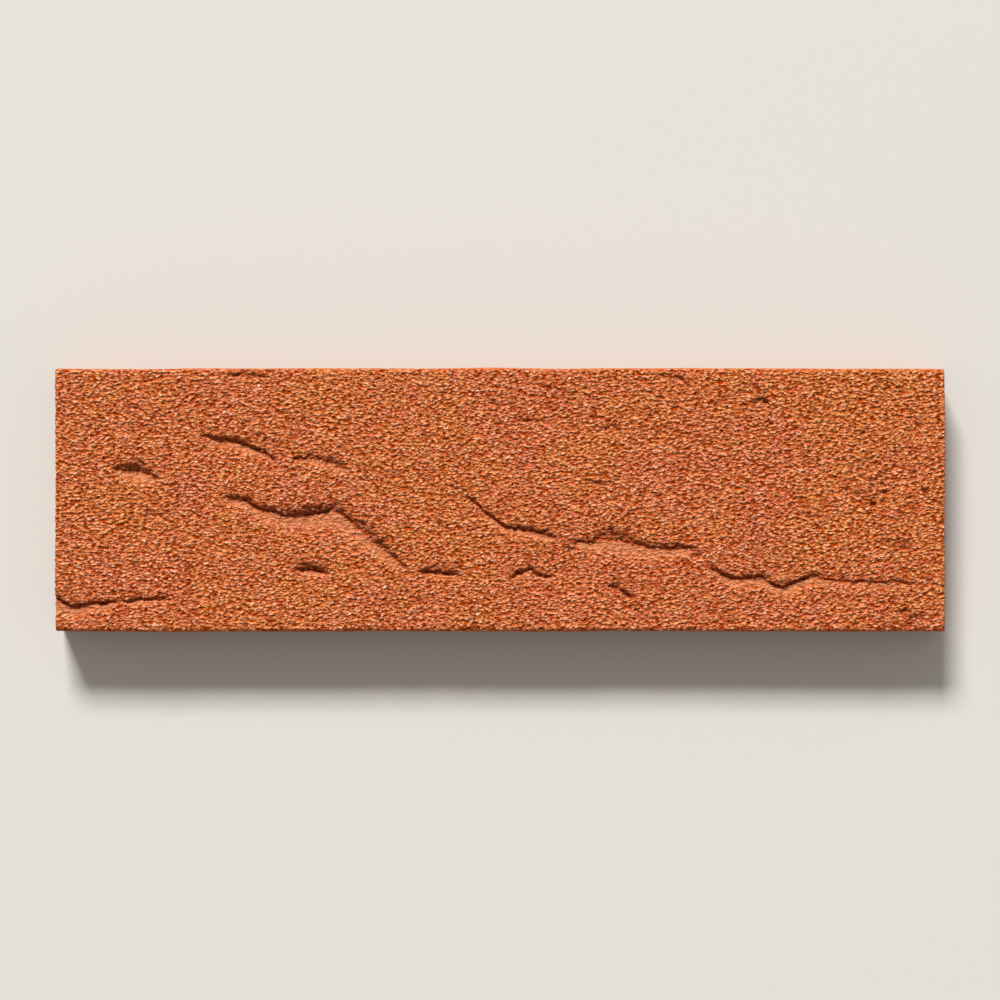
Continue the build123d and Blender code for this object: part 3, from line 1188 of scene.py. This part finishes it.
class SCENE_OT_slip_studio(bpy.types.Operator):
    """Builds the pale floor, the soft lights and the camera that looks straight down on the face."""

    bl_idname = "scene.slip_studio"
    bl_label = "Studio"
    bl_options = {"REGISTER", "UNDO"}

    def execute(self, context):
        scene = context.scene
        studio = scene.studio_settings

        across = np.linspace(-FLOOR_REACH, FLOOR_REACH, 3)
        x, y = np.meshgrid(across, across)
        patch = grid_patch(x, y, 0 * x, x, y)
        floor_mesh = bpy.data.meshes.new("pale_floor")
        floor_mesh.from_pydata(patch.points, [], patch.quads.tolist())
        floor_mesh.materials.append(floor_paint(studio.floor_colour))
        floor = bpy.data.objects.new("pale_floor", floor_mesh)
        scene.collection.objects.link(floor)

        world = bpy.data.worlds.new("studio_air")
        world.use_nodes = True
        world.node_tree.nodes.clear()
        background = add_node(
            world.node_tree,
            "ShaderNodeBackground",
            {"Color": AIR_COLOUR, "Strength": studio.fill_strength},
        ).outputs[0]
        add_node(world.node_tree, "ShaderNodeOutputWorld", {"Surface": background})
        scene.world = world

        level, turn = studio.key_elevation, studio.key_turn
        toward = np.array(
            [-math.sin(turn) * math.cos(level), math.cos(turn) * math.cos(level), math.sin(level)]
        )
        key = bpy.data.lights.new("key_light", "AREA")
        key.shape = "RECTANGLE"
        key.size, key.size_y = LIGHT_SIDES
        key.energy = studio.key_power
        key.color = LIGHT_COLOUR
        key_object = bpy.data.objects.new("key_light", key)
        key_object.location = LIGHT_DISTANCE * toward
        key_object.rotation_euler = (-key_object.location).to_track_quat("-Z", "Y").to_euler()
        scene.collection.objects.link(key_object)

        camera = bpy.data.cameras.new("photo_camera")
        camera.lens = studio.lens
        camera.sensor_width = SENSOR_WIDTH
        camera_object = bpy.data.objects.new("photo_camera", camera)
        frame_width = 2 * HALF_LENGTH / studio.slip_share / MM_PER_M
        distance = frame_width / 2 * camera.lens / (camera.sensor_width / 2)
        camera_object.location = (0.0, 0.0, THICKNESS / MM_PER_M + distance)
        scene.collection.objects.link(camera_object)
        scene.camera = camera_object

        scene.view_settings.view_transform = "Standard"
        return {"FINISHED"}


class VIEW3D_PT_brick_slip(bpy.types.Panel):
    """Lists what the slip and its studio are built from."""

    bl_idname = "VIEW3D_PT_brick_slip"
    bl_label = "Clinker Brick Slip"
    bl_space_type = "VIEW_3D"
    bl_region_type = "UI"
    bl_category = "Brick Slip"

    def draw(self, context):
        for settings, operator in (
            (context.scene.slip_settings, MESH_OT_struck_clay_slip),
            (context.scene.studio_settings, SCENE_OT_slip_studio),
        ):
            column = self.layout.column(align=True)
            for name in settings.bl_rna.properties.keys():
                if name not in ("rna_type", "name"):
                    column.prop(settings, name)
            column.operator(operator.bl_idname)


CLASSES = (
    SlipSettings,
    StudioSettings,
    MESH_OT_struck_clay_slip,
    SCENE_OT_slip_studio,
    VIEW3D_PT_brick_slip,
)


def register():
    for cls in CLASSES:
        bpy.utils.register_class(cls)
    bpy.types.Scene.slip_settings = bpy.props.PointerProperty(type=SlipSettings)
    bpy.types.Scene.studio_settings = bpy.props.PointerProperty(type=StudioSettings)


def unregister():
    del bpy.types.Scene.studio_settings
    del bpy.types.Scene.slip_settings
    for cls in reversed(CLASSES):
        bpy.utils.unregister_class(cls)


def main():
    """Builds everything."""
    register()
    bpy.ops.mesh.struck_clay_slip()
    bpy.ops.scene.slip_studio()


if __name__ == "__main__":
    main()
